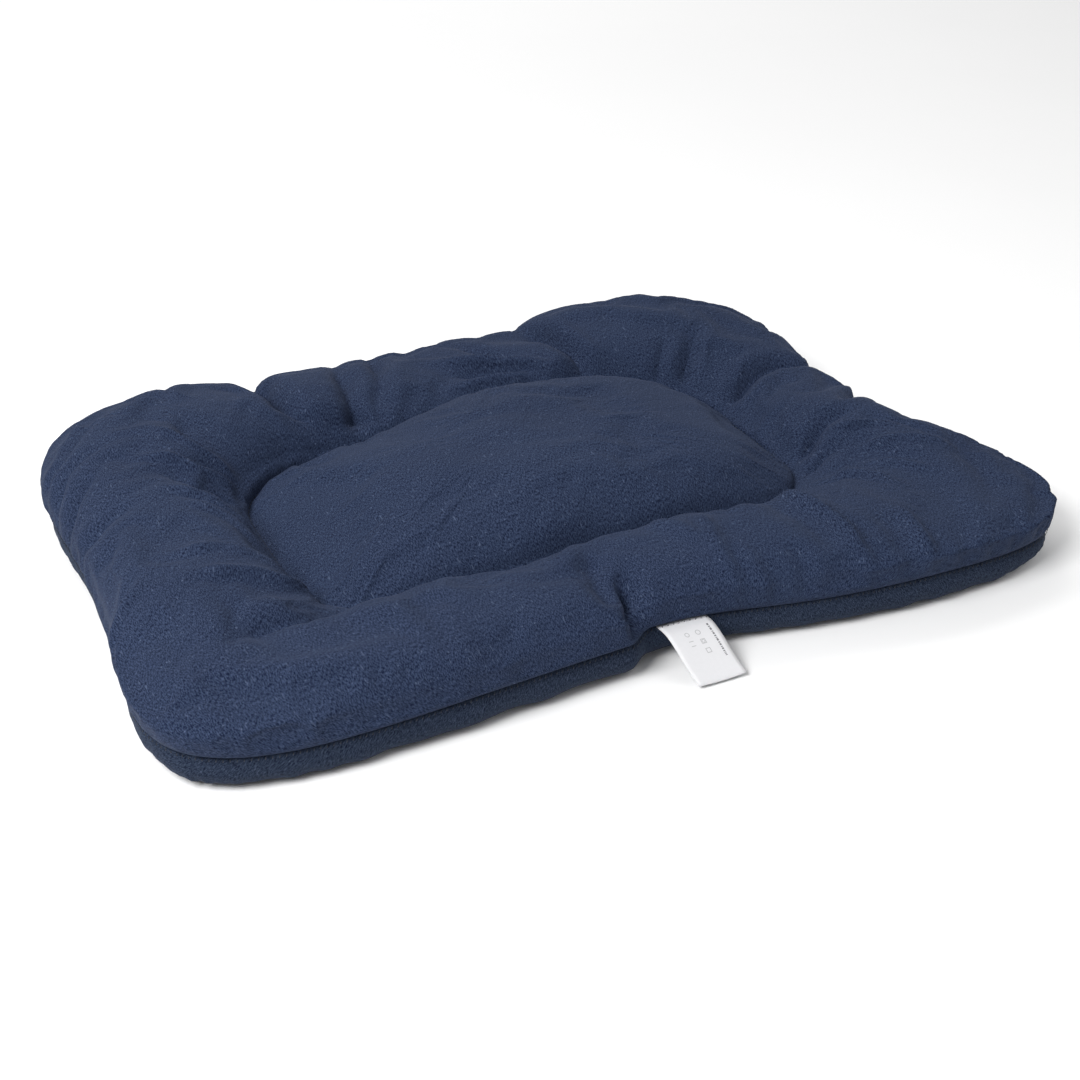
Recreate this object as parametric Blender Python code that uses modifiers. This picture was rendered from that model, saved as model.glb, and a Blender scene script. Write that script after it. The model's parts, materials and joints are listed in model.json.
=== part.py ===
"""A pet cushion bed: a stuffed ring round a stuffed centre, between two sewn panels.

Metres, +Z up. The origin is on the floor, under the middle of the cushion, and the
label is on the front, at -Y. Both panels are sewn together along two closed seams:
the perimeter seam, whose allowances lie folded in between the panels, and the
channel seam, which parts the ring from the centre. The label swings on the
perimeter seam.
"""

from math import asin, cos, pi, radians, sin

import bmesh
import bpy
from mathutils import Matrix, Vector

# Overall sizes
CUSHION_LENGTH = 0.700
CUSHION_DEPTH = 0.500
RING_CREST = 0.078
CENTRE_CREST = 0.080

# Plan shape
RING_WIDTH_ENDS = 0.130
RING_WIDTH_SIDES = 0.125
WAIST_ENDS = 0.012
WAIST_SIDES = 0.021
OUTLINE_SQUARENESS = 7.0
CHANNEL_SQUARENESS = 3.8

# Section shape
SEAM_HEIGHT = 0.028
CHANNEL_HEIGHT = 0.024
BULGE = 0.005
BULGE_HEIGHT = 0.046
UNDER_RUN = 0.024
CHANNEL_FLOOR = 0.003
CENTRE_FULLNESS = 2.5

# Cloth, thread and filling
FABRIC = 0.0010
FACING_GAP = 0.0003
SEAM_ALLOWANCE = 0.010
THREAD = 0.0008
THREAD_GAP = 0.0003
STITCH_INSET = 0.0030
FILLING_CLEARANCE = 0.0010
CLOSING_LENGTH = 0.200

# Care label, a ribbon folded in two
LABEL_WIDTH = 0.037
LABEL_LENGTH = 0.041
LABEL_PLACE = 0.014
LABEL_DROOP = radians(38)
RIBBON = 0.0004
RIBBON_GAP = 0.0005
LABEL_GAP = 0.0024
LABEL_DROP = 0.0010

# Fineness of the facets
STATIONS = 48
CORNER_CROWDING = 0.15
ARCH_STEPS = 4
HOOK_STEPS = 3
UNDER_STEPS = 3
CENTRE_STEPS = 5
FOLD_STEPS = 6
OUTLINE_SAMPLES = 360

NAVY = (0.033, 0.049, 0.099, 1.0)
NAVY_UNDER = (0.028, 0.044, 0.078, 1.0)
THREAD_NAVY = (0.010, 0.016, 0.035, 1.0)
FIBRE_WHITE = (0.82, 0.82, 0.80, 1.0)
LABEL_WHITE = (0.86, 0.86, 0.86, 1.0)


# ---------------------------------------------------------------- plan curves


def squared_circle(angle, half_x, half_y, squareness):
    """A point on a rectangle with round corners, as a superellipse."""
    c, s = cos(angle), sin(angle)
    reach = (abs(c) ** squareness + abs(s) ** squareness) ** (-1 / squareness)
    return half_x * reach * c, half_y * reach * s


def waisted(angle, half_x, half_y, squareness):
    """The same, with each side drawn in between its corners."""
    x, y = squared_circle(angle, half_x, half_y, squareness)
    pull = cos(2 * angle) ** 2
    x *= 1 - WAIST_ENDS / half_x * pull * cos(angle) ** 2
    y *= 1 - WAIST_SIDES / half_y * pull * sin(angle) ** 2
    return x, y


def outline_scale():
    """What brings the waisted outline's furthest points to the overall sizes."""
    half_x, half_y = CUSHION_LENGTH / 2 - BULGE, CUSHION_DEPTH / 2 - BULGE
    points = [
        waisted(2 * pi * i / OUTLINE_SAMPLES, half_x, half_y, OUTLINE_SQUARENESS)
        for i in range(OUTLINE_SAMPLES)
    ]
    return half_x**2 / max(p[0] for p in points), half_y**2 / max(p[1] for p in points)


OUTLINE_HALF_X, OUTLINE_HALF_Y = outline_scale()


def outline(angle):
    """The perimeter seam."""
    return Vector(waisted(angle, OUTLINE_HALF_X, OUTLINE_HALF_Y, OUTLINE_SQUARENESS))


def channel(angle):
    """The middle of the channel seam."""
    half_x = CUSHION_LENGTH / 2 - BULGE - RING_WIDTH_ENDS
    half_y = CUSHION_DEPTH / 2 - BULGE - RING_WIDTH_SIDES
    return Vector(squared_circle(angle, half_x, half_y, CHANNEL_SQUARENESS))


def station_angle(index):
    """Stations start on +X and crowd together at the corners."""
    turn = 2 * pi * index / STATIONS
    return turn + CORNER_CROWDING * sin(4 * turn)


ANGLES = [station_angle(i) for i in range(STATIONS)]


# ------------------------------------------------------------ section curves
# A section is a list of (run, height) points. A run starts at the channel seam
# and goes outwards to the perimeter seam.

FACE_OF_TOP = SEAM_HEIGHT + FACING_GAP / 2
FACE_OF_BOTTOM = SEAM_HEIGHT - FACING_GAP / 2
UNDER_CHANNEL = CHANNEL_HEIGHT - 2 * FABRIC - FACING_GAP
FILLING_INSET = FABRIC + FILLING_CLEARANCE
SLOT_HALF = FACING_GAP / 2 + FABRIC + THREAD_GAP + THREAD + FILLING_CLEARANCE


def ring_width(angle):
    return (outline(angle) - channel(angle)).length


def quarter(steps, first=0.0):
    """(cosine, sine) pairs over a quarter turn, or what is left of it."""
    turns = [first + (pi / 2 - first) * i / steps for i in range(steps + 1)]
    return [(cos(t), sin(t)) for t in turns]


def arch(width, inset):
    """Over the ring, from the channel to its widest height, moved inwards by inset."""
    inner = CHANNEL_FLOOR / 2 + inset
    outer = width + BULGE - inset
    crest = RING_CREST - inset
    middle = (inner + outer) / 2
    up = [
        (middle - (middle - inner) * c, CHANNEL_HEIGHT + (crest - CHANNEL_HEIGHT) * s)
        for c, s in quarter(ARCH_STEPS)
    ]
    down = [
        (middle + (outer - middle) * c, BULGE_HEIGHT + (crest - BULGE_HEIGHT) * s)
        for c, s in quarter(ARCH_STEPS)
    ]
    return up + down[-2::-1]


def hook(width):
    """Under the bulge, from the widest height back to the perimeter seam."""
    drop = BULGE_HEIGHT - FACE_OF_TOP
    return [(width + BULGE * c, BULGE_HEIGHT - drop * s) for c, s in quarter(HOOK_STEPS)]


def ring_top(width):
    """The top panel's face, from the channel floor's edge to its free edge."""
    allowance = (width - SEAM_ALLOWANCE, FACE_OF_TOP)
    return arch(width, 0) + hook(width)[1:] + [allowance]


def under_arc(run, height, inwards, inset=0.0, slot=0.0):
    """From beside a seam down to the floor, UNDER_RUN away from the seam."""
    across = UNDER_RUN - inset
    down = height - inset
    heart = run + inwards * UNDER_RUN
    first = asin(slot / down)
    return [
        (heart - inwards * across * c, height - down * s)
        for c, s in quarter(UNDER_STEPS, first)
    ]


def ring_under(width):
    """The bottom panel's face, from the channel floor's edge to its free edge."""
    inner = under_arc(CHANNEL_FLOOR / 2, UNDER_CHANNEL, 1)
    outer = under_arc(width, FACE_OF_BOTTOM, -1)
    allowance = (width - SEAM_ALLOWANCE, FACE_OF_BOTTOM)
    return inner + outer[::-1] + [allowance]


def ring_fill(width):
    """Round the filling of the ring, with a slot where the allowances lie."""
    slot_run = width - SEAM_ALLOWANCE - FILLING_CLEARANCE
    outer = under_arc(width, SEAM_HEIGHT, -1, FILLING_INSET, SLOT_HALF)
    inner = under_arc(CHANNEL_FLOOR / 2, UNDER_CHANNEL, 1, FILLING_INSET)
    lip = (width - FILLING_INSET, SEAM_HEIGHT + SLOT_HALF)
    slot = [(slot_run, SEAM_HEIGHT + SLOT_HALF), (slot_run, SEAM_HEIGHT - SLOT_HALF)]
    return arch(width, FILLING_INSET) + [lip] + slot + outer + inner[::-1]


def dome(inset):
    """(share, height) over the centre: the share of the way out to the channel."""
    rise = CENTRE_CREST - inset - CHANNEL_HEIGHT
    power = 2 / CENTRE_FULLNESS
    curve = quarter(CENTRE_STEPS)[:-1]
    return [(c**power, CHANNEL_HEIGHT + rise * s**power) for c, s in curve]


# ------------------------------------------------------------------- placing


def ring_point(angle, run, height):
    """A point at a run outwards from the channel seam, at one station."""
    inner, outer = channel(angle), outline(angle)
    place = inner + (outer - inner).normalized() * run
    return Vector((place.x, place.y, height))


def centre_point(angle, share, height, inset):
    """A point at a share of the way out to an edge set in from the channel seam."""
    seam = channel(angle)
    place = (seam - seam.normalized() * inset) * share
    return Vector((place.x, place.y, height))


def ring_rows(section):
    """One closed row for each point of a section."""
    sections = [section(ring_width(a)) for a in ANGLES]
    return [
        [ring_point(a, *points[i]) for a, points in zip(ANGLES, sections)]
        for i in range(len(sections[0]))
    ]


def centre_under_rows(inset):
    """Closed rows under the centre, from the channel down to the floor."""
    arc = under_arc(CHANNEL_FLOOR / 2, UNDER_CHANNEL, 1, inset)
    return [[centre_point(a, 1, z, run) for a in ANGLES] for run, z in arc]


def dome_rows(inset):
    """Closed rows over the centre, from the channel up to the last before the top."""
    edge = CHANNEL_FLOOR / 2 + inset
    return [[centre_point(a, share, z, edge) for a in ANGLES] for share, z in dome(inset)]


# ------------------------------------------------------------ making objects


def clear_scene():
    for old in list(bpy.data.objects):
        bpy.data.objects.remove(old, do_unlink=True)


def material(name, colour, roughness):
    made = bpy.data.materials.new(name)
    made.use_nodes = True
    shader = made.node_tree.nodes["Principled BSDF"]
    shader.inputs["Base Color"].default_value = colour
    shader.inputs["Roughness"].default_value = roughness
    shader.inputs["Metallic"].default_value = 0.0
    return made


def add_object(name, data, home, finish):
    made = bpy.data.objects.new(name, data)
    data.materials.append(finish)
    home.objects.link(made)
    return made


def bridge(mesh, lower, upper):
    """A band of faces between two closed rows of the same length."""
    count = len(lower)
    for i in range(count):
        j = (i + 1) % count
        mesh.faces.new((lower[i], lower[j], upper[j], upper[i]))


def fan(mesh, row, point):
    """A closed row joined to one point."""
    tip = mesh.verts.new(point)
    for i in range(len(row)):
        mesh.faces.new((row[i], row[(i + 1) % len(row)], tip))


def loft(name, rows, home, finish, first=None, last=None, cyclic=False):
    """A skin through closed rows, with a point before the first or after the last."""
    mesh = bmesh.new()
    laid = [[mesh.verts.new(p) for p in row] for row in rows]
    for lower, upper in zip(laid, laid[1:]):
        bridge(mesh, lower, upper)
    if cyclic:
        bridge(mesh, laid[-1], laid[0])
    if first is not None:
        fan(mesh, laid[0][::-1], first)
    if last is not None:
        fan(mesh, laid[-1], last)
    data = bpy.data.meshes.new(name)
    mesh.to_mesh(data)
    mesh.free()
    data.shade_smooth()
    return add_object(name, data, home, finish)


def cloth(panel):
    """Gives an open skin the fabric's thickness, inwards from its face."""
    wall = panel.modifiers.new("Fabric", "SOLIDIFY")
    wall.thickness = FABRIC
    wall.offset = -1
    wall.use_even_offset = True
    wall.use_quality_normals = True
    return panel


def thread(name, points, home, finish, closed=True):
    """A round thread through the points."""
    path = bpy.data.curves.new(name, "CURVE")
    path.dimensions = "3D"
    path.bevel_depth = THREAD / 2
    path.bevel_resolution = 1
    path.use_fill_caps = not closed
    line = path.splines.new("POLY")
    line.points.add(len(points) - 1)
    for knot, point in zip(line.points, points):
        knot.co = (*point, 1.0)
    line.use_cyclic_u = closed
    return add_object(name, path, home, finish)


# ----------------------------------------------------------------- the parts


def top_panel(home, finish):
    """Folded allowance, ring, channel floor and centre dome, from the outside in."""
    rows = ring_rows(ring_top)[::-1] + dome_rows(0)
    tip = Vector((0, 0, CENTRE_CREST))
    return cloth(loft("top_panel", rows, home, finish, last=tip))


def bottom_panel(home, finish):
    """The underside, flat on the floor under the ring and under the centre."""
    rows = centre_under_rows(0)[::-1] + ring_rows(ring_under)
    return cloth(loft("bottom_panel", rows, home, finish, first=Vector((0, 0, 0))))


def ring_filling(home, finish):
    rows = ring_rows(ring_fill)[::-1]
    return loft("ring_filling", rows, home, finish, cyclic=True)


def centre_filling(home, finish):
    rows = centre_under_rows(FILLING_INSET)[::-1] + dome_rows(FILLING_INSET)
    base = Vector((0, 0, FILLING_INSET))
    tip = Vector((0, 0, CENTRE_CREST - FILLING_INSET))
    return loft("centre_filling", rows, home, finish, first=base, last=tip)


def channel_threads(home, finish):
    """The needle thread in the channel, and the bobbin thread under the cushion."""
    lift = THREAD_GAP + THREAD / 2
    levels = {
        "channel_needle_thread": CHANNEL_HEIGHT + lift,
        "channel_bobbin_thread": UNDER_CHANNEL - lift,
    }
    for name, level in levels.items():
        thread(name, [ring_point(a, 0, level) for a in ANGLES], home, finish)


def perimeter_threads(home, finish):
    """Both threads of the perimeter seam, inside, each on its own allowance."""
    lift = FACING_GAP / 2 + FABRIC + THREAD_GAP + THREAD / 2
    levels = {
        "perimeter_needle_thread": SEAM_HEIGHT + lift,
        "perimeter_bobbin_thread": SEAM_HEIGHT - lift,
    }
    for name, level in levels.items():
        points = [ring_point(a, ring_width(a) - STITCH_INSET, level) for a in ANGLES]
        thread(name, points, home, finish)


def closing_thread(home, finish):
    """The slip stitches that close the filling gap, in the seam line on the back."""
    stand_off = THREAD_GAP + THREAD / 2
    points = [
        ring_point(a, ring_width(a) + stand_off, SEAM_HEIGHT - THREAD)
        for a in ANGLES
        if sin(a) > 0 and abs(outline(a).x) < CLOSING_LENGTH / 2
    ]
    return thread("closing_thread", points, home, finish, closed=False)


def seam_front(x):
    """The perimeter seam's place in Y at a given X, on the front."""
    before, after = None, None
    for a in ANGLES:
        point = outline(a)
        if point.y >= 0:
            continue
        if point.x <= x and (before is None or point.x > before.x):
            before = point
        if point.x > x and (after is None or point.x < after.x):
            after = point
    share = (x - before.x) / (after.x - before.x)
    return before.y + (after.y - before.y) * share


def care_label(home, finish):
    """A ribbon folded in two, hinged along the front of the perimeter seam."""
    apart = (RIBBON + RIBBON_GAP) / 2
    fold = LABEL_LENGTH - apart - RIBBON / 2
    points = [(0.0, -apart), (fold, -apart)]
    for i in range(1, FOLD_STEPS):
        turn = -pi / 2 + pi * i / FOLD_STEPS
        points.append((fold + apart * cos(turn), apart * sin(turn)))
    points += [(fold, apart), (0.0, apart)]
    path = bpy.data.curves.new("care_label", "CURVE")
    path.dimensions = "2D"
    path.fill_mode = "NONE"
    path.extrude = LABEL_WIDTH / 2
    line = path.splines.new("POLY")
    line.points.add(len(points) - 1)
    for knot, (along, across) in zip(line.points, points):
        knot.co = (along, across, 0.0, 1.0)
    label = add_object("care_label", path, home, finish)
    wall = label.modifiers.new("Ribbon", "SOLIDIFY")
    wall.thickness = RIBBON
    wall.offset = 0
    outwards = Matrix(((0, 0, -1), (-1, 0, 0), (0, 1, 0))).to_4x4()
    droop = Matrix.Rotation(LABEL_DROOP, 4, "X")
    hinge = (LABEL_PLACE, seam_front(LABEL_PLACE) - LABEL_GAP, SEAM_HEIGHT - LABEL_DROP)
    label.matrix_world = Matrix.Translation(hinge) @ droop @ outwards
    return label


def build():
    clear_scene()
    home = bpy.data.collections.new("pet_cushion_bed")
    bpy.context.scene.collection.children.link(home)
    top_cloth = material("top_fabric", NAVY, 0.92)
    under_cloth = material("bottom_fabric", NAVY_UNDER, 0.92)
    sewing = material("sewing_thread", THREAD_NAVY, 0.75)
    fibre = material("fibre_filling", FIBRE_WHITE, 0.95)
    ribbon = material("label_ribbon", LABEL_WHITE, 0.55)
    top_panel(home, top_cloth)
    bottom_panel(home, under_cloth)
    ring_filling(home, fibre)
    centre_filling(home, fibre)
    channel_threads(home, sewing)
    perimeter_threads(home, sewing)
    closing_thread(home, sewing)
    care_label(home, ribbon)


build()
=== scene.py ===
import json
from math import cos, pi, radians, sin

import bpy
import numpy as np
from bpy.props import FloatProperty, FloatVectorProperty, IntProperty, PointerProperty
from bpy.types import Operator, Panel, PropertyGroup
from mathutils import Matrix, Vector

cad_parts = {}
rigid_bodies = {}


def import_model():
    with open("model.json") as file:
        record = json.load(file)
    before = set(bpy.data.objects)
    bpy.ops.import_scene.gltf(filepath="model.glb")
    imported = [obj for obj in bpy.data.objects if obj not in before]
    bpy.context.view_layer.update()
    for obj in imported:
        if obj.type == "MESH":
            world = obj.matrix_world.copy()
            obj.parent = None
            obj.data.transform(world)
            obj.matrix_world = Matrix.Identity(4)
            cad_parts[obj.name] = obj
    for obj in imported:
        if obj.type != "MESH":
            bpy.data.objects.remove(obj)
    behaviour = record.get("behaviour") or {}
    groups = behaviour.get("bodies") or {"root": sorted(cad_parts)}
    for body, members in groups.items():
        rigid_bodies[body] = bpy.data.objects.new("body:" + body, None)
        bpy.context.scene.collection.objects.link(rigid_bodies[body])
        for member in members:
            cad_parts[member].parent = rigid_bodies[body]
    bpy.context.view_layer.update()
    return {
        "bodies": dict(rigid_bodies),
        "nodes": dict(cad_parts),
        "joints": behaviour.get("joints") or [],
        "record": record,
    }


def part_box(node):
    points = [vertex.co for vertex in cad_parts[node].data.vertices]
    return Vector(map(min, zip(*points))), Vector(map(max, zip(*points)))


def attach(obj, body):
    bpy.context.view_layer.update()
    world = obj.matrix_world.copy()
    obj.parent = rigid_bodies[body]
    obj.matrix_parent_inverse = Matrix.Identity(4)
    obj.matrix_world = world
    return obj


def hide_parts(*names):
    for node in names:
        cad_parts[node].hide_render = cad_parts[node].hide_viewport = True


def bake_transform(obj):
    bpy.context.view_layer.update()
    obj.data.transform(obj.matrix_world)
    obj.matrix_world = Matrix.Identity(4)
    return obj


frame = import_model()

bl_info = {
    "name": "Pet Cushion Bed",
    "version": (1, 0, 0),
    "blender": (4, 5, 0),
    "location": "View3D > Sidebar > Cushion",
    "description": "Makes a stuffed, channel-stitched cushion bed round its packed frame",
    "category": "Add Mesh",
}

MM = 0.001

# ------------------------------------------------------------- from the frame

UNDER_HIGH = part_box("bottom_panel")[1]
SEAM_HALF_X = UNDER_HIGH.x
SEAM_HALF_Y = UNDER_HIGH.y
CHANNEL_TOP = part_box("channel_needle_thread")[0].z
CHANNEL_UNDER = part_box("channel_bobbin_thread")[1].z
LABEL_LOW, LABEL_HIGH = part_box("care_label")
LABEL_HINGE = Vector(frame["joints"][0]["pos_m"])
SEAM_Z = LABEL_HINGE.z + 1 * MM

# ------------------------------------------------------------------- sections
# The channel isn't quite in the middle, and each corner has its own roundness,
# because the cushion is filled by hand.

CHANNEL_LEFT, CHANNEL_RIGHT = -208 * MM, 208 * MM
CHANNEL_FRONT, CHANNEL_BACK = -124 * MM, 125 * MM
CHANNEL_HEART = np.array([CHANNEL_LEFT + CHANNEL_RIGHT, CHANNEL_FRONT + CHANNEL_BACK]) / 2
CHANNEL_HALF = np.array([CHANNEL_RIGHT - CHANNEL_LEFT, CHANNEL_BACK - CHANNEL_FRONT]) / 2
# Squareness at the back right, back left, front left and front right corners
OUTLINE_CORNERS = (4.5, 4.2, 6.5, 8.5)
CHANNEL_CORNERS = (3.0, 3.2, 8.0, 4.0)
CORNER_CROWDING = 0.15
CENTRE_ROWS = 33
BULGE = 4 * MM
BULGE_Z = 46 * MM
WAIST_ENDS = 10 * MM
WAIST_SIDES = 14 * MM
UNDER_RUN = 24 * MM
SEAM_GROOVE = 2.2 * MM
FABRIC = 1.0 * MM
FIBRE_INSET = 30 * MM
FIBRE_OFF_UNDERSIDE = 4 * MM
INNER_FULLNESS = 2.15
OUTER_FULLNESS = 2.25

# Where the ring is fuller or flatter: (direction in degrees, spread, height)
RING_HEIGHTS = (
    (140, 20, 11), (54, 15, 11), (12, 26, -19), (320, 20, -19), (270, 38, -7),
    (222, 16, -2), (114, 12, -7), (88, 16, -20),
)
# Where the outline is drawn in by its filling: (direction, spread, inwards)
DRAWN_IN = (
    (18, 28, 37), (343, 17, 14), (120, 11, 20), (326, 12, -6),
    (300, 12, -3), (84, 12, -8), (222, 11, -9),
)

# Folds on the top, each as a line in plan: (name, points, heights at its first and
# last point, half width), all in mm. Below 0 it is a crease, above 0 a soft ridge.
FOLDS = (
    ("back_left_tuck", ((-152, 236), (-144, 192), (-140, 160), (-134, 138), (-112, 124)), (-28, -6), 7),
    ("back_left_dip", ((-150, 232), (-144, 190), (-140, 160), (-132, 136)), (-8, -5), 20),
    ("back_crease", ((-70, 236), (-78, 203), (-84, 160), (-86, 130), (-92, 106)), (-8, -12), 6),
    ("back_slack", ((-62, 220), (-70, 190), (-76, 150), (-84, 112)), (-5, -9), 18),
    ("back_pleat", ((-36, 240), (-42, 200), (-54, 165), (-68, 140)), (-12, -4), 7),
    ("back_right_tuck", ((104, 240), (108, 200), (112, 165), (114, 142), (116, 120)), (-13, -16), 6),
    ("back_right_dip", ((92, 236), (98, 200), (104, 165), (110, 136)), (-8, -3), 18),
    ("roll_top", ((6, 190), (48, 171), (70, 155), (88, 138)), (6, 6), 6),
    ("roll_gap", ((8, 168), (50, 159), (80, 142)), (-6, -6), 5),
    ("roll_foot", ((0, 151), (45, 147), (74, 137)), (6, 6), 5),
    ("roll_crease", ((36, 222), (56, 184), (67, 160)), (-6, -6), 6),
    ("centre_nick_a", ((-152, 108), (-146, 86), (-136, 60)), (-9, -3), 8),
    ("centre_nick_b", ((-108, 124), (-102, 100), (-94, 74)), (-8, -3), 8),
    ("left_dip", ((-292, 130), (-255, 145), (-232, 122), (-228, 92)), (-5, -5), 14),
    ("left_ridge_a", ((-258, 120), (-229, 92), (-203, 78)), (4.5, 4.5), 5),
    ("left_ridge_b", ((-274, 88), (-237, 69), (-206, 66)), (4.5, 4.5), 5),
    ("left_crease", ((-270, 64), (-243, 48), (-212, 48)), (-4, -7), 7),
    ("left_ridge_c", ((-272, 36), (-237, 20), (-213, 0)), (4.5, 4.5), 6),
    ("edge_pucker_a", ((-350, 70), (-330, 98), (-311, 108), (-294, 113)), (-5, -3), 4),
    ("edge_pucker_b", ((-350, 36), (-333, 60), (-310, 80)), (-5, -3), 4),
    ("edge_pucker_c", ((-350, 6), (-328, 12), (-296, 24)), (-5, -4), 6),
    ("edge_ridge", ((-314, -80), (-333, -101), (-348, -122)), (4.5, 4.5), 4),
    ("corner_crease", ((240, 138), (212, 108), (201, 97), (190, 84)), (-4, -11), 5),
    ("corner_line", ((200, 130), (182, 108), (172, 96)), (-2, -4), 4),
    ("end_tuck", ((312, 58), (273, 66), (248, 62), (234, 56), (210, 44)), (-9, -13), 6),
    ("end_nick", ((334, 2), (298, -15), (272, -33)), (-10, -3), 6),
    ("tip_crease_a", ((282, -50), (247, -52), (228, -57), (208, -62)), (-4, -12), 6),
    ("tip_crease_b", ((248, -80), (220, -80), (200, -84)), (-3, -9), 5),
    ("end_ridge_a", ((236, -60), (267, -74), (292, -91)), (3.75, 3.75), 4),
    ("end_ridge_b", ((238, -88), (279, -105), (314, -127)), (3.75, 3.75), 4),
    ("end_ridge_c", ((238, -109), (258, -124), (270, -148)), (3.75, 3.75), 4),
    ("end_ridge_d", ((200, -108), (223, -120), (238, -152)), (4.5, 4.5), 5),
    ("front_ridge_a", ((136, -126), (143, -165), (150, -200), (150, -240)), (6, 6), 6),
    ("front_dip_a", ((120, -140), (127, -185), (133, -235)), (-3, -4), 8),
    ("front_ridge_b", ((208, -190), (202, -224), (196, -252)), (5.25, 5.25), 6),
    ("front_dip_b", ((190, -190), (184, -220), (178, -250)), (-3, -3), 7),
    ("front_ridge_c", ((66, -150), (53, -205), (50, -238)), (3.75, 3.75), 5),
    ("front_ridge_d", ((70, -203), (70, -230), (79, -246)), (3.75, 3.75), 4),
    ("front_line", ((101, -212), (104, -232), (100, -248)), (-3, -4), 4),
    ("front_swell", ((26, -142), (39, -169), (47, -192)), (4.5, 3), 7),
    ("label_pleat", ((-28, -160), (-35, -192), (-42, -230)), (-7, -9), 6),
    ("label_tuck", ((-16, -192), (-21, -216), (-27, -244)), (-12, -28), 6),
    (
        "front_left_mitre",
        ((-182, -122), (-208, -138), (-231, -149), (-254, -153), (-280, -164)),
        (-18, -7),
        9,
    ),
    ("mitre_dip", ((-260, -118), (-271, -143), (-283, -174)), (-5, -5), 7),
    ("mitre_ridge_a", ((-194, -92), (-226, -95), (-253, -90), (-286, -89)), (6, 4.5), 6),
    ("mitre_ridge_b", ((-204, -82), (-231, -63), (-257, -57), (-290, -58)), (4.5, 4.5), 6),
    ("mitre_ridge_c", ((-213, -32), (-237, 0), (-264, 13)), (4.5, 4.5), 6),
)

# Soft lumps in the fibre: (x, y, radius, height), all in mm
LUMPS = (
    (-165, -165, 34, 4), (100, -150, 46, 3), (30, -160, 30, 2), (-40, 188, 34, 3),
    (-120, 190, 24, 3), (10, 200, 30, 3), (-235, 165, 40, 2), (250, 110, 34, 2),
    (300, -160, 50, 2), (-290, -60, 44, 2), (-60, 20, 60, 2), (90, -20, 55, 2),
)


def wrapped(turn):
    return (turn + pi) % (2 * pi) - pi


def hill(q):
    return np.exp(-q * q)


def smooth(t):
    t = np.clip(t, 0, 1)
    return t * t * (3 - 2 * t)


def towards(angle, degrees, spread):
    """1 in one direction from the middle, falling to 0 past its spread."""
    return hill(wrapped(angle - radians(degrees)) / radians(spread))


def by_corner(angle, corners):
    """A value that each corner has its own share of."""
    near = [np.clip(np.cos(angle - radians(d)), 0, None) ** 2 for d in (45, 135, 225, 315)]
    return sum(w * c for w, c in zip(near, corners)) / sum(near)


def unit_squircle(angle, corners):
    squareness = by_corner(angle, corners)
    c, s = np.cos(angle), np.sin(angle)
    reach = (np.abs(c) ** squareness + np.abs(s) ** squareness) ** (-1 / squareness)
    return np.stack([reach * c, reach * s], -1)


def stations(count):
    """Directions from the middle, closer together at the corners."""
    turn = 2 * pi * np.arange(count) / count
    return turn + CORNER_CROWDING * np.sin(4 * turn)


def seam_line(angle):
    """The perimeter seam in plan, drawn in between its corners and at the label."""
    place = unit_squircle(angle, OUTLINE_CORNERS)
    pull = np.cos(2 * angle) ** 2
    x = place[:, 0] * (SEAM_HALF_X + 3 * MM)
    y = place[:, 1] * (SEAM_HALF_Y + 4 * MM)
    x = x * (1 - WAIST_ENDS / 0.35 * pull * np.cos(angle) ** 2)
    y = y * (1 - WAIST_SIDES / 0.25 * pull * np.sin(angle) ** 2)
    reach = np.hypot(x, y)
    for degrees, spread, inwards in DRAWN_IN:
        share = 1 - inwards * MM * towards(angle, degrees, spread) / reach
        x, y = x * share, y * share
    front = np.sin(angle) < 0
    step = smooth((x + 32 * MM) / (22 * MM)) * hill(np.clip(x, 0, None) / (95 * MM))
    y = y + np.where(front, 13 * MM * step, 0)
    return np.stack([x, y], -1)


def channel_line(angle):
    return CHANNEL_HEART + CHANNEL_HALF * unit_squircle(angle, CHANNEL_CORNERS)


def crest_height(angle):
    height = np.full_like(angle, 70.0)
    for degrees, spread, more in RING_HEIGHTS:
        height = height + more * towards(angle, degrees, spread)
    return height * MM


def seam_height(angle):
    wander = 0.8 * np.sin(7 * angle + 1.0) + 0.5 * np.sin(13 * angle + 2.3)
    return SEAM_Z + (wander - 8 * towards(angle, 335, 24)) * MM


def along_ring(angle, runs, heights):
    """Points at runs outwards from the channel, one row for each station."""
    inner, outer = channel_line(angle), seam_line(angle)
    outwards = (outer - inner) / np.linalg.norm(outer - inner, axis=1)[:, None]
    plan = inner[:, None, :] + outwards[:, None, :] * runs[..., None]
    return np.concatenate([plan, heights[..., None]], -1)


def ring_width(angle):
    return np.linalg.norm(seam_line(angle) - channel_line(angle), axis=1)


def power_arc(turn, fullness):
    return np.cos(turn) ** (2 / fullness), np.sin(turn) ** (2 / fullness)


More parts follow.
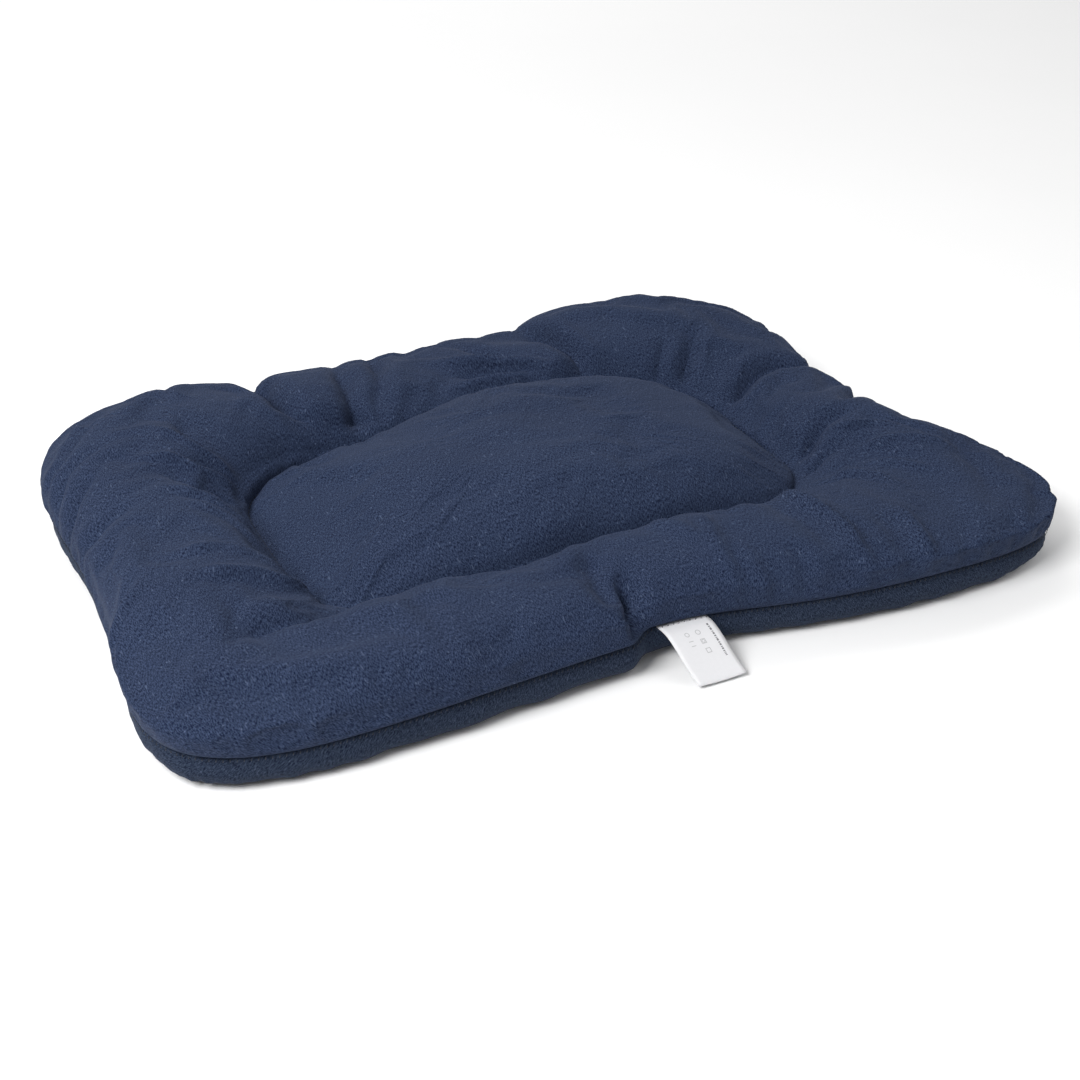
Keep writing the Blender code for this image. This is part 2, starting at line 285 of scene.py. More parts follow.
def ring_over(angle, rows_up, rows_down, rows_hook):
    """The ring's top from the channel, over the crest and back under to the seam."""
    width = ring_width(angle)[:, None]
    crest = crest_height(angle)[:, None]
    low = seam_height(angle)[:, None]
    middle = width / 2
    ends = np.cos(angle)[:, None] ** 2
    fullness = INNER_FULLNESS - 0.55 * smooth((ends - 0.45) / 0.5)
    c, s = power_arc(np.linspace(0, pi / 2, rows_up)[None], fullness)
    up = middle - middle * c, CHANNEL_TOP + (crest - CHANNEL_TOP) * s
    c, s = power_arc(np.linspace(pi / 2, 0, rows_down)[None, 1:], OUTER_FULLNESS)
    over = middle + (width + BULGE - middle) * c, BULGE_Z + (crest - BULGE_Z) * s
    fall = np.linspace(0, 1, rows_hook)[None, 1:]
    bend = BULGE * (1 - fall**2.4) - SEAM_GROOVE * smooth((fall - 0.8) / 0.2)
    under = width + bend, BULGE_Z - (BULGE_Z - low) * fall**0.92
    inside = np.array([[-3.5, -6.0, -9.0]]) * MM
    flange = width + inside, low + 0 * inside
    runs = np.concatenate([up[0], over[0], under[0], flange[0]], 1)
    heights = np.concatenate([up[1], over[1], under[1], flange[1]], 1)
    return along_ring(angle, runs, heights)


def centre_over(angle, shares, rise):
    """The domed centre, highest in the middle and lower towards both ends."""
    edge = channel_line(angle)
    plan = CHANNEL_HEART + (edge - CHANNEL_HEART)[:, None] * shares[None, :, None]
    x, y = np.moveaxis((plan - CHANNEL_HEART) / CHANNEL_HALF, -1, 0)
    right, left = np.where(y > 0, 3.0, 4.0), np.where(y > 0, 3.2, 8.0)
    squareness = np.where(x > 0, right, left)
    reach = np.maximum(1 - np.abs(x) ** squareness, 1e-9) ** (1 / squareness)
    share = np.clip(np.abs(y) / reach, 0, 1)
    slack = 1 - 0.45 * hill(np.hypot((x + 0.60) / 0.34, (y - 0.80) / 0.45))
    roundness = np.where(x > 0, 0.6, 0.75)
    height = rise * (1 - x**2) ** roundness * (1 - share**3) ** (1 / 3) * slack
    return np.concatenate([plan, (CHANNEL_TOP + height)[..., None]], -1)


def fold_shape(plan, points, heights, half_width):
    """How far a fold lifts each point, in mm, less towards its ends."""
    knots = np.array(points, float) * MM
    lengths = np.linalg.norm(np.diff(knots, axis=0), axis=1)
    starts = np.concatenate([[0], np.cumsum(lengths)])
    nearest = np.full(plan.shape[:-1], 1e9)
    place = np.zeros(plan.shape[:-1])
    for a, b, length, start in zip(knots, knots[1:], lengths, starts):
        t = np.clip(((plan - a) @ (b - a)) / length**2, 0, 1)
        away = np.linalg.norm(plan - (a + t[..., None] * (b - a)), axis=-1)
        closer = away < nearest
        nearest = np.where(closer, away, nearest)
        place = np.where(closer, (start + t * length) / starts[-1], place)
    q = nearest / (half_width * MM)
    size = heights[0] + (heights[1] - heights[0]) * place
    beyond = smooth(1 - nearest / (half_width * 6 * MM))
    size = size * (0.25 + 0.75 * smooth(place / 0.3) * smooth((1 - place) / 0.2)) * beyond
    if heights[0] > 0:
        return size * hill(q)
    # A sharp crease between two full sides that swell a little beside it.
    return size * (np.exp(0.25 - np.sqrt(q**2 + 0.0625)) - 0.12 * hill((q - 2.6) / 1.1))


def ripples(plan, seed, count, longest, shortest):
    """Smooth unevenness, as a sum of a few waves in different directions."""
    random = np.random.default_rng(seed)
    total = np.zeros(plan.shape[:-1])
    for _ in range(count):
        turn, phase = random.uniform(0, 2 * pi, 2)
        wave = random.uniform(shortest, longest) * MM
        total += np.sin((plan @ [cos(turn), sin(turn)]) * 2 * pi / wave + phase)
    return total / np.sqrt(count)


def normals_of(grid):
    """Unit normals of a grid whose first axis goes round."""
    around = np.roll(grid, -1, 0) - np.roll(grid, 1, 0)
    across = np.gradient(grid, axis=1)
    normal = np.cross(across, around)
    return normal / np.maximum(np.linalg.norm(normal, axis=-1, keepdims=True), 1e-12)


def pucker(angle, rows_from_seam, seed):
    """Gathers that run away from a seam and die out in about 25 mm."""
    random = np.random.default_rng(seed)
    total = np.zeros((len(angle), 1))
    turn = np.arange(len(angle))[:, None] / len(angle) * 2 * pi
    for waves in (61, 83, 97, 118):
        phase, swell = random.uniform(0, 2 * pi, 2)
        total += np.sin(waves * turn + phase) * (0.6 + 0.4 * np.sin(5 * turn + swell))
    return total / 2 * rows_from_seam


def plain_top(count, settings):
    """The top panel as it would be without a fold, station by station."""
    angle = stations(count)
    shares = np.linspace(0, 1, CENTRE_ROWS + 1)[1:]
    shares = 1 - (1 - shares) ** 1.25
    centre = centre_over(angle, shares, settings.centre_rise)
    ring = ring_over(angle, 26, 24, 8)[:, 1:]
    return angle, shares, np.concatenate([centre, ring], 1)


def top_surface(count, settings):
    """Every point of the folded top panel, and its place on the flat cloth."""
    angle, shares, grid = plain_top(count, settings)
    flat = flat_places(grid)
    plan = grid[..., :2]
    rows = len(shares)
    last = grid.shape[1]
    # Nothing moves at either seam, so that both panels stay sewn together.
    free = np.zeros(last)
    free[:rows] = smooth((1 - shares) / 0.10)
    out = np.linalg.norm(grid[:, rows:, :2] - grid[:, rows - 1 : rows, :2], axis=-1)
    to_seam = np.arange(last - rows)[None, ::-1] - 3
    held = smooth(out / (9 * MM)) * smooth(to_seam / 9.0)
    free = np.concatenate([np.repeat(free[None, :rows], count, 0), held], 1)
    lift = np.zeros(grid.shape[:-1])
    for _, points, heights, half_width in FOLDS:
        lift += settings.fold_depth * fold_shape(plan, points, heights, half_width)
    for x, y, radius, height in LUMPS:
        lift += height * hill(np.linalg.norm(plan - np.array([x, y]) * MM, axis=-1) / (radius * MM))
    lift += 1.3 * np.sin(plan[..., 0] * 2 * pi / (47 * MM) + 1) * hill((plan[..., 1] + 0.160) / 0.030)
    lift += 0.9 * ripples(plan, 3, 9, 110, 55) + 0.25 * ripples(plan, 5, 12, 40, 18)
    normal = normals_of(grid)
    near_seam = np.zeros(last)
    near_seam[-12:-3] = np.sin(np.linspace(0.15, pi, 9))
    grid = grid + normal * (lift * free)[..., None] * MM
    gathered = 0.2 + 0.4 * towards(angle, 180, 40)[:, None]
    grid = grid + normal * (pucker(angle, near_seam[None], 7) * gathered * MM)[..., None]
    return angle, grid, flat


def flat_places(grid):
    """Where each point was on the flat cloth: its way out from the middle, rolled flat."""
    steps = np.linalg.norm(np.diff(grid, axis=1), axis=-1)
    first = np.linalg.norm(grid[:, :1, :2] - CHANNEL_HEART, axis=-1)
    out = np.concatenate([first, first + np.cumsum(steps, axis=1)], 1)
    heading = grid[:, grid.shape[1] // 2, :2] - CHANNEL_HEART
    heading = heading / np.linalg.norm(heading, axis=1)[:, None]
    return heading[:, None, :] * out[..., None]


def under_surface(count):
    """Every point of the bottom panel, from its middle to its folded edge."""
    angle = stations(count)
    width = ring_width(angle)[:, None]
    high = seam_height(angle)[:, None] - 0.3 * MM
    turn = np.linspace(0, pi / 2, 9)[None]
    c, s = power_arc(turn, 2.3)
    groove = CHANNEL_UNDER
    inner_in = UNDER_RUN * (1 - c) + 0 * width, groove * (1 - s) + 0 * width
    flat_run = np.linspace(0, 1, 9)[None, 1:-1]
    run = UNDER_RUN + (width - 2 * UNDER_RUN) * flat_run
    belly = 2.0 * MM * np.sin(turn * 2) ** 0.7 - SEAM_GROOVE * smooth(turn / (pi / 2) * 4 - 3)
    c2, s2 = power_arc(turn[:, ::-1], 2.3)
    rising = width - UNDER_RUN * (1 - c2) + belly, high * (1 - s2)
    inside = np.array([[-3.5, -6.0, -9.0]]) * MM
    runs = np.concatenate([inner_in[0], run, rising[0], width + inside], 1)
    heights = np.concatenate([inner_in[1], 0 * run, rising[1], high + 0 * inside], 1)
    ring = along_ring(angle, runs, heights)
    edge = channel_line(angle) - CHANNEL_HEART
    length = np.linalg.norm(edge, axis=1)[:, None]
    back = (UNDER_RUN * (1 - c))[:, ::-1]
    near = 1 - back / length
    inner_most = 1 - UNDER_RUN / length
    shares = np.concatenate([inner_most * np.linspace(0.1, 0.9, 8)[None], near], 1)
    plan = CHANNEL_HEART + edge[:, None] * shares[..., None]
    rise = np.concatenate([np.zeros((1, 8)), (groove * (1 - s))[:, ::-1]], 1)
    rise = np.repeat(rise, count, 0)
    centre = np.concatenate([plan, rise[..., None]], -1)
    grid = np.concatenate([centre, ring[:, 1:]], 1)
    flat = flat_places(grid)
    last = grid.shape[1]
    sides = np.zeros(last)
    sides[-12:-4] = np.sin(np.linspace(0.4, pi - 0.4, 8))
    gathers = pucker(angle, sides[None], 11) * 0.55 * MM
    folds = 0.8 * MM * sides[None] * ripples(grid[..., :2], 13, 6, 70, 30)
    grid = grid - normals_of(grid) * (gathers + folds)[..., None]
    grid[..., 2] = np.maximum(grid[..., 2], 0)
    return angle, grid, flat


# ------------------------------------------------------------------- meshes


def deselect_all():
    for item in bpy.context.selected_objects:
        item.select_set(False)


def link(name, data):
    made = bpy.data.objects.new(name, data)
    bpy.context.scene.collection.objects.link(made)
    return made


def apply_modifiers(piece):
    deselect_all()
    piece.select_set(True)
    bpy.context.view_layer.objects.active = piece
    for modifier in list(piece.modifiers):
        bpy.ops.object.modifier_apply(modifier=modifier.name)


def skin(name, grid, flat, outwards):
    """A closed fan in the middle and bands of faces out to the last row."""
    count, rows = grid.shape[:2]
    middle = grid[:, 0].mean(0)
    points = np.concatenate([[middle], grid.transpose(1, 0, 2).reshape(-1, 3)])
    places = np.concatenate([[[0, 0]], flat.transpose(1, 0, 2).reshape(-1, 2)])
    i = np.arange(count)
    j = (i + 1) % count
    fan = np.stack([np.zeros(count, int), 1 + i, 1 + j], -1)
    band = np.arange(rows - 1)[:, None] * count + 1
    quads = np.stack([band + i, band + count + i, band + count + j, band + j], -1)
    quads = quads.reshape(-1, 4)
    if not outwards:
        fan, quads = fan[:, ::-1], quads[:, ::-1]
    data = bpy.data.meshes.new(name)
    data.from_pydata(points.tolist(), [], fan.tolist() + quads.tolist())
    uv = data.uv_layers.new(name="Cloth")
    corners = np.zeros(len(data.loops), int)
    data.loops.foreach_get("vertex_index", corners)
    uv.data.foreach_set("uv", places[corners].astype(np.float32).ravel())
    data.shade_smooth()
    return link(name, data)


def settle(piece, held, even, frames, loose, push, furthest):
    """Lets loose cloth buckle between its seams, as a stuffed panel does.

    held lists the sewn points. even is 1 where all points move as one, as at the
    middle, where the faces are too narrow to bend. No point moves past furthest.
    """
    before = np.zeros(len(piece.data.vertices) * 3)
    piece.data.vertices.foreach_get("co", before)
    group = piece.vertex_groups.new(name="sewn")
    group.add([int(i) for i in held], 1.0, "REPLACE")
    cloth = piece.modifiers.new("Loose cloth", "CLOTH")
    cloth.settings.quality = 5
    cloth.settings.mass = 0.25
    cloth.settings.tension_stiffness = 20
    cloth.settings.compression_stiffness = 20
    cloth.settings.shear_stiffness = 8
    cloth.settings.bending_stiffness = 0.6
    cloth.settings.air_damping = 4
    cloth.settings.vertex_group_mass = "sewn"
    cloth.settings.shrink_min = -loose
    cloth.settings.use_pressure = True
    cloth.settings.uniform_pressure_force = push
    cloth.settings.effector_weights.gravity = 0
    cloth.collision_settings.use_collision = False
    cloth.point_cache.frame_start = 1
    cloth.point_cache.frame_end = frames
    scene = bpy.context.scene
    for frame in range(1, frames + 1):
        scene.frame_set(frame)
    seen = piece.evaluated_get(bpy.context.evaluated_depsgraph_get())
    after = np.zeros_like(before)
    seen.data.vertices.foreach_get("co", after)
    piece.modifiers.remove(cloth)
    piece.vertex_groups.remove(group)
    scene.frame_set(1)
    before, after = before.reshape(-1, 3), after.reshape(-1, 3)
    moved = after - before
    far = np.linalg.norm(moved, axis=1, keepdims=True)
    moved = moved * (furthest * np.tanh(far / furthest) / np.maximum(far, 1e-12))
    even = even[:, None]
    moved = moved + even * ((moved * even).sum(0) / even.sum() - moved)
    piece.data.vertices.foreach_set("co", (before + moved).ravel())
    piece.data.update()


def cloth_wall(piece, thickness):
    wall = piece.modifiers.new("Cloth", "SOLIDIFY")
    wall.thickness = thickness
    wall.offset = -1
    apply_modifiers(piece)
    piece.data.shade_smooth()


# ------------------------------------------------------------------ materials


class Wire:
    """A socket that can be used in a Python expression."""

    def __init__(self, tree, socket):
        self.tree = tree
        self.socket = socket

    def maths(self, operation, *others):
        return self.tree.node("ShaderNodeMath", {"operation": operation}, [self, *others])

    def __add__(self, other):
        return self.maths("ADD", other)

    def __sub__(self, other):
        return self.maths("SUBTRACT", other)

    def __mul__(self, other):
        return self.maths("MULTIPLY", other)

    def __truediv__(self, other):
        return self.maths("DIVIDE", other)

    def __rsub__(self, other):
        return self.tree.node("ShaderNodeMath", {"operation": "SUBTRACT"}, [other, self])

    __radd__ = __add__
    __rmul__ = __mul__

    def clamp(self):
        return self.tree.node(
            "ShaderNodeMath", {"operation": "MULTIPLY", "use_clamp": True}, [self, 1.0]
        )


class Finish:
    """A material and its nodes."""

    def __init__(self, name):
        self.material = bpy.data.materials.new(name)
        self.material.use_nodes = True
        self.nodes = self.material.node_tree.nodes
        self.links = self.material.node_tree.links
        self.shader = self.nodes["Principled BSDF"]

    def node(self, kind, settings=None, values=(), output=0):
        """Adds a node: its settings first, then its sockets, by order or by name."""
        made = self.nodes.new(kind)
        for key, value in (settings or {}).items():
            if key == "stops":
                for stop, (place, colour) in zip(made.color_ramp.elements, value):
                    stop.position = place
                    stop.color = colour
            else:
                setattr(made, key, value)
        items = values.items() if isinstance(values, dict) else enumerate(values)
        for key, value in items:
            self.put(made.inputs[key], value)
        return Wire(self, made.outputs[output])

    def put(self, socket, value):
        if isinstance(value, Wire):
            self.links.new(value.socket, socket)
        else:
            socket.default_value = value

    def mix(self, factor, first, second):
        """Between two colours."""
        return self.node(
            "ShaderNodeMix",
            {"data_type": "RGBA"},
            {0: factor, 6: first, 7: second},
            output=2,
        )

    def ramp(self, value, low, high):
        """0 below low, 1 above high, smooth in between."""
        return self.node(
            "ShaderNodeMapRange",
            {"interpolation_type": "SMOOTHSTEP"},
            [value, low, high, 0.0, 1.0],
        )

    def noise(self, vector, scale, detail=2.0, rough=0.5):
        return self.node(
            "ShaderNodeTexNoise",
            None,
            {"Vector": vector, "Scale": scale, "Detail": detail, "Roughness": rough},
        )

    def stretched(self, vector, scale):
        return self.node("ShaderNodeMapping", None, {"Vector": vector, "Scale": scale})

    def set(self, **values):
        names = {"colour": "Base Color", "roughness": "Roughness", "normal": "Normal"}
        for key, value in values.items():
            self.put(self.shader.inputs[names.get(key, key)], value)

    def constant(self, name, value):
        self.shader.inputs[name].default_value = value

    def bump(self, height, distance, strength=1.0):
        return self.node(
            "ShaderNodeBump",
            None,
            {"Height": height, "Distance": distance, "Strength": strength},
        )


def woven_cloth(name, colour, fleck, thread_pitch, fleck_share):
    """Brushed cotton twill: fine ribs along Y, pale slubs, and a soft nap."""
    made = Finish(name)
    place = made.node("ShaderNodeUVMap", {"uv_map": "Cloth"})
    ribs = made.node(
        "ShaderNodeTexWave",
        {"wave_type": "BANDS", "bands_direction": "X", "wave_profile": "SIN"},
        {
            "Vector": place,
            "Scale": 2 * pi / 20 / thread_pitch,
            "Distortion": 1.6,
            "Detail": 2.0,
            "Detail Scale": 3.0,
        },
    )
    picks = made.node(
        "ShaderNodeTexWave",
        {"wave_type": "BANDS", "bands_direction": "Y", "wave_profile": "SIN"},
        {
            "Vector": place,
            "Scale": 2 * pi / 20 / (thread_pitch * 0.8),
            "Distortion": 2.0,
            "Detail": 2.0,
            "Detail Scale": 4.0,
        },
    )
    heather = made.noise(made.stretched(place, (1700.0, 430.0, 1.0)), 1.0, 2.0, 0.6)
    cross = made.noise(made.stretched(place, (760.0, 1500.0, 1.0)), 1.0, 2.0, 0.6)
    slub = made.noise(made.stretched(place, (700.0, 120.0, 1.0)), 1.0, 1.0, 0.4)
    lint = made.noise(made.stretched(place, (480.0, 400.0, 1.0)), 1.0, 1.0, 0.5)
    worn = made.noise(place, 9.0, 3.0, 0.55)
    pale = made.ramp(slub, 0.66, 0.80) * 0.30 + made.ramp(lint, 0.68, 0.80) * 0.40
    grain = (heather * 0.65 + cross * 0.35 - 0.5) * 6.4
    shade = (grain + (ribs - 0.5) * 0.12 + (worn - 0.5) * 0.3 + 0.5).clamp()
    dark = [c * k for c, k in zip(colour, (0.10, 0.18, 0.34))] + [1.0]
    light = [c * k for c, k in zip(colour, (2.00, 1.85, 1.68))] + [1.0]
    base = made.mix(shade, dark, light)
    flecked = made.mix((pale * fleck_share).clamp(), base, fleck)
    made.set(colour=flecked)
    made.set(roughness=0.86 + (heather - 0.5) * 0.10)
    height = ribs * 0.5 + picks * 0.3 + grain * 0.2 + slub * 0.4
    made.set(normal=made.bump(height, 0.18 * MM, 0.35))
    made.constant("Sheen Weight", 0.05)
    made.constant("Sheen Roughness", 0.45)
    made.constant("Sheen Tint", (0.45, 0.55, 0.85, 1.0))
    made.constant("Specular IOR Level", 0.12)
    return made.material


def sewing_thread(name, colour):
    """Two-ply spun thread."""
    made = Finish(name)
    place = made.node("ShaderNodeTexCoord", None, output="Object")
    fibre = made.noise(place, 2600.0, 2.0)
    dark = [c * 0.6 for c in colour[:3]] + [1.0]
    made.set(colour=made.mix(fibre, dark, colour))
    made.set(roughness=0.60 + fibre * 0.25)
    made.set(normal=made.bump(fibre, 0.1 * MM, 0.4))
    made.constant("Sheen Weight", 0.05)
    return made.material


def loose_fibre(name, colour):
    made = Finish(name)
    place = made.node("ShaderNodeTexCoord", None, output="Object")
    curl = made.noise(place, 160.0, 4.0, 0.7)
    fluff = made.noise(place, 700.0, 3.0, 0.7)
    grey = [c * 0.8 for c in colour[:3]] + [1.0]
    made.set(colour=made.mix(curl, grey, colour))
    made.set(roughness=0.88 + fluff * 0.1)
    made.set(normal=made.bump(curl * 0.6 + fluff * 0.4, 1.5 * MM, 0.8))
    return made.material


def printed_ribbon(name, colour, ink):
    """White satin with one line of greeked print and a few plain outline marks."""
    made = Finish(name)
    place = made.node("ShaderNodeUVMap", {"uv_map": "Cloth"})
    parts = made.nodes.new("ShaderNodeSeparateXYZ")
    made.links.new(place.socket, parts.inputs[0])
    across, along = Wire(made, parts.outputs[0]), Wire(made, parts.outputs[1])

    def within(value, low, high):
        edge = 0.08 * MM
        return made.ramp(value, low - edge, low + edge) * (
            1 - made.ramp(value, high - edge, high + edge)
        )

    def box(x0, x1, y0, y1):
        return within(across, x0 * MM, x1 * MM) * within(along, y0 * MM, y1 * MM)

    def hoop(x, y, radius, line):
        far = (across - x * MM).maths("POWER", 2.0) + (along - y * MM).maths("POWER", 2.0)
        return within(far.maths("SQRT"), (radius - line) * MM, radius * MM)

    def frame_mark(x, y, half, line):
        outer = box(x - half, x + half, y - half, y + half)
        inner = half - line
        return outer * (1 - box(x - inner, x + inner, y - inner, y + inner))

    print_line = None
    start = 11.0
    for width in (1.9, 1.2, 2.4, 0.9, 1.8, 1.4, 0.8, 2.2, 1.1, 1.7, 0.9, 1.6, 1.1, 0.7, 0.7, 0.7):
        mark = box(12.5, 13.9, start, start + width * 0.78)
        print_line = mark if print_line is None else print_line + mark
        start += width + 0.30
    faint = (
        hoop(3.2, 15.5, 1.9, 0.5)
        + frame_mark(3.2, 22.5, 1.8, 0.5)
        + hoop(3.2, 22.5, 1.2, 0.4)
        + frame_mark(3.2, 29.5, 1.8, 0.5)
        + hoop(-5.2, 15.5, 1.7, 0.5)
        + box(-6.9, -3.5, 20.5, 21.0)
        + box(-6.9, -3.5, 24.0, 24.5)
    )
    printed = (print_line.clamp() * 0.85 + faint.clamp() * 0.45).clamp()
    weft = made.node(
        "ShaderNodeTexWave",
        {"wave_type": "BANDS", "bands_direction": "Y", "wave_profile": "SIN"},
        {"Vector": place, "Scale": 2 * pi / 20 / (0.35 * MM), "Distortion": 0.6},
    )
    soft = made.noise(place, 400.0, 2.0)
    tone = made.mix(soft, [c * 0.95 for c in colour[:3]] + [1.0], colour)
    made.set(colour=made.mix(printed, tone, ink))
    made.set(roughness=0.42 + soft * 0.12)
    made.set(normal=made.bump(weft, 0.05 * MM, 0.35))
    made.constant("Sheen Weight", 0.15)
    return made.material


def floor_finish(name):
    made = Finish(name)
    place = made.node("ShaderNodeTexCoord", None, output="Object")
    tone = made.noise(place, 3.0, 2.0)
    made.set(colour=made.mix(tone, (0.92, 0.92, 0.92, 1), (0.94, 0.94, 0.94, 1)))
    made.constant("Roughness", 0.9)
    made.constant("Specular IOR Level", 0.1)
    return made.material


def dress(piece, material):
    piece.data.materials.clear()
    piece.data.materials.append(material)


# -------------------------------------------------------------------- stitches


def sew(name, starts, ends, ups, thickness, sag):
    """A run of stitches from starts to ends, each a thread with both ends sunk."""
    rings, sides = 7, 6
    along = np.linspace(0, 1, rings)
    arch = np.sin(pi * along)
    girth = thickness / 2 * (0.55 + 0.45 * arch)
    turn = 2 * pi * np.arange(sides) / sides
    axis = ends - starts
    length = np.linalg.norm(axis, axis=1, keepdims=True)
    axis = axis / length
    side = np.cross(ups, axis)
    side = side / np.linalg.norm(side, axis=1, keepdims=True)
    up = np.cross(axis, side)
    core = starts[:, None] + (ends - starts)[:, None] * along[None, :, None]
    core = core + up[:, None] * ((arch - 0.35) * sag)[None, :, None]
    hoop = (
        side[:, None, None] * np.cos(turn)[None, None, :, None]
        + up[:, None, None] * np.sin(turn)[None, None, :, None]
    )
    points = core[:, :, None] + hoop * girth[None, :, None, None]
    count = len(starts)
    faces = []
    size = rings * sides
    one = []
    for r in range(rings - 1):
        for k in range(sides):
            n = (k + 1) % sides
            one.append((r * sides + k, r * sides + n, (r + 1) * sides + n, (r + 1) * sides + k))
    ends_of = [tuple(range(sides - 1, -1, -1)), tuple(range(size - sides, size))]
    for c in range(count):
        faces += [tuple(v + c * size for v in face) for face in one + ends_of]
    data = bpy.data.meshes.new(name)
    data.from_pydata(points.reshape(-1, 3).tolist(), [], faces)
    data.shade_smooth()
    return link(name, data)


def even_steps(line, pitch):
    """Points along a closed line, evenly spaced at about one pitch."""
    closed = np.concatenate([line, line[:1]])
    steps = np.linalg.norm(np.diff(closed, axis=0), axis=1)
    length = np.concatenate([[0], np.cumsum(steps)])
    count = int(length[-1] / pitch)
    wanted = np.arange(count) * length[-1] / count
    return np.stack([np.interp(wanted, length, closed[:, k]) for k in range(3)], -1)


# ---------------------------------------------------------------- properties


class CushionSettings(PropertyGroup):
    centre_rise: FloatProperty(
        name="Centre rise",
        description="How far the stuffed centre stands above the channel",
        default=54 * MM, min=0.01, max=0.12, subtype="DISTANCE",
    )
    fold_depth: FloatProperty(
        name="Fold depth",
        description="How deep the tucks and folds are, 1 being a well used cushion",
        default=1.15, min=0.0, max=2.0, subtype="FACTOR",
    )
    stations: IntProperty(
        name="Stations",
        description="Columns of faces round the cushion",
        default=640, min=96, max=960,
    )
    cloth_colour: FloatVectorProperty(
        name="Cloth", description="The top panel's navy",
        default=(0.0170, 0.0275, 0.0592, 1.0), size=4, min=0, max=1, subtype="COLOR",
    )
    # The bottom panel's navy is partly its own tone and partly painted shade. It is darkened to about
    # two thirds to stand in for the shade on the band under the seam, which the floor's bounce light
    # would otherwise brighten.
    underside_navy_with_painted_shade: FloatVectorProperty(
        name="Underside", description="The bottom panel's navy",
        default=(0.0155, 0.0245, 0.0460, 1.0), size=4, min=0, max=1, subtype="COLOR",
    )
    fleck_colour: FloatVectorProperty(
        name="Flecks", description="The pale slubs and lint in the cloth",
        default=(0.16, 0.21, 0.33, 1.0), size=4, min=0, max=1, subtype="COLOR",
    )
    thread_colour: FloatVectorProperty(
        name="Thread", description="The sewing thread",
        default=(0.006, 0.009, 0.019, 1.0), size=4, min=0, max=1, subtype="COLOR",
    )
    label_colour: FloatVectorProperty(
        name="Label", description="The satin ribbon",
        default=(0.68, 0.68, 0.70, 1.0), size=4, min=0, max=1, subtype="COLOR",
    )
    thread_pitch: FloatProperty(
        name="Thread pitch", description="Between two ribs of the twill",
        default=1.1 * MM, min=0.0003, max=0.005, subtype="DISTANCE", precision=5,
    )
    stitch_length: FloatProperty(
        name="Stitch length", description="From one needle hole to the next",
        default=4.2 * MM, min=0.002, max=0.01, subtype="DISTANCE", precision=4,
    )


# ----------------------------------------------------------------- operators


class CUSHION_OT_top(Operator):
    """Make the top panel over the ring and the centre"""

    bl_idname = "cushion.top"
    bl_label = "Top panel"

    def execute(self, context):
        settings = context.scene.cushion
        _, grid, flat = top_surface(settings.stations, settings)
        piece = skin("cushion_top", grid, flat, True)
        count, rows = grid.shape[:2]
        sewn = [*range(CENTRE_ROWS - 1, CENTRE_ROWS + 1), *range(rows - 6, rows)]
        held = (1 + np.array(sewn)[:, None] * count + np.arange(count)).ravel()
        from_middle = np.concatenate([[0], np.arange(rows).repeat(count)])
        settle(piece, held, 1 - smooth((from_middle - 3) / 6), 12, 0.03, 0.8, 4 * MM)
        cloth_wall(piece, FABRIC)
        cloth = woven_cloth(
            "navy_twill", settings.cloth_colour, settings.fleck_colour,
            settings.thread_pitch, 0.8,
        )
        dress(piece, cloth)
        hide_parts("top_panel")
        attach(piece, "cushion")
        return {"FINISHED"}


class CUSHION_OT_underside(Operator):
    """Make the bottom panel, up to the perimeter seam"""

    bl_idname = "cushion.underside"
    bl_label = "Bottom panel"

    def execute(self, context):
        settings = context.scene.cushion
        _, grid, flat = under_surface(settings.stations)
        piece = skin("cushion_underside", grid, flat, False)
        cloth_wall(piece, FABRIC)
        # The underside's cloth colour carries painted shade for the band under the seam.
        cloth = woven_cloth(
            "navy_lining_with_painted_shade", settings.underside_navy_with_painted_shade, settings.fleck_colour,
            settings.thread_pitch, 0.5,
        )
        dress(piece, cloth)
        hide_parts("bottom_panel")
        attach(piece, "cushion")
        return {"FINISHED"}


class CUSHION_OT_filling(Operator):
    """Make the loose fibre in the ring and in the centre"""

    bl_idname = "cushion.filling"
    bl_label = "Filling"

    def execute(self, context):
        settings = context.scene.cushion
        white = loose_fibre("polyester_fibre", (0.85, 0.85, 0.83, 1.0))
        count = 96
        _, _, top = plain_top(count, settings)
        _, under, _ = under_surface(count)
        # The fibre's outside is set well below the cloth.
        top_in = top - normals_of(top) * FIBRE_INSET
        top_in[..., 2] = np.maximum(top_in[..., 2], 12 * MM)
        under_in = under + normals_of(under) * FIBRE_OFF_UNDERSIDE
        for name, node, ring in (
            ("ring_fibre", "ring_filling", True),
            ("centre_fibre", "centre_filling", False),
        ):
            loop = self.outline(top_in, under_in, ring)
            piece = self.body(name, loop, ring)
            dress(piece, white)
            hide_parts(node)
            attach(piece, "cushion")
        return {"FINISHED"}

    def outline(self, top, under, ring):
        """Rows over and then back under, inside the cloth."""
        if ring:
            over = top[:, CENTRE_ROWS + 5 : -14 : 3]
            back = under[:, 22:-10:3][:, ::-1]
            return np.concatenate([over, back], 1)
        over = top[:, 2 : CENTRE_ROWS - 4 : 3]
        back = under[:, 1:9:2][:, ::-1]
        return np.concatenate([over, back], 1)

    def body(self, name, loop, ring):
        count, rows = loop.shape[:2]
        points = loop.transpose(1, 0, 2).reshape(-1, 3)
        faces = []
        for r in range(rows if ring else rows - 1):
            low, high = r * count, (r + 1) % rows * count
            for i in range(count):
                j = (i + 1) % count
                faces.append((low + i, high + i, high + j, low + j))
        if not ring:
            faces.append(tuple(range(count)))
            faces.append(tuple(range(len(points) - 1, len(points) - count - 1, -1)))
        data = bpy.data.meshes.new(name)
        data.from_pydata(points.tolist(), [], faces)
        data.shade_smooth()
        return link(name, data)


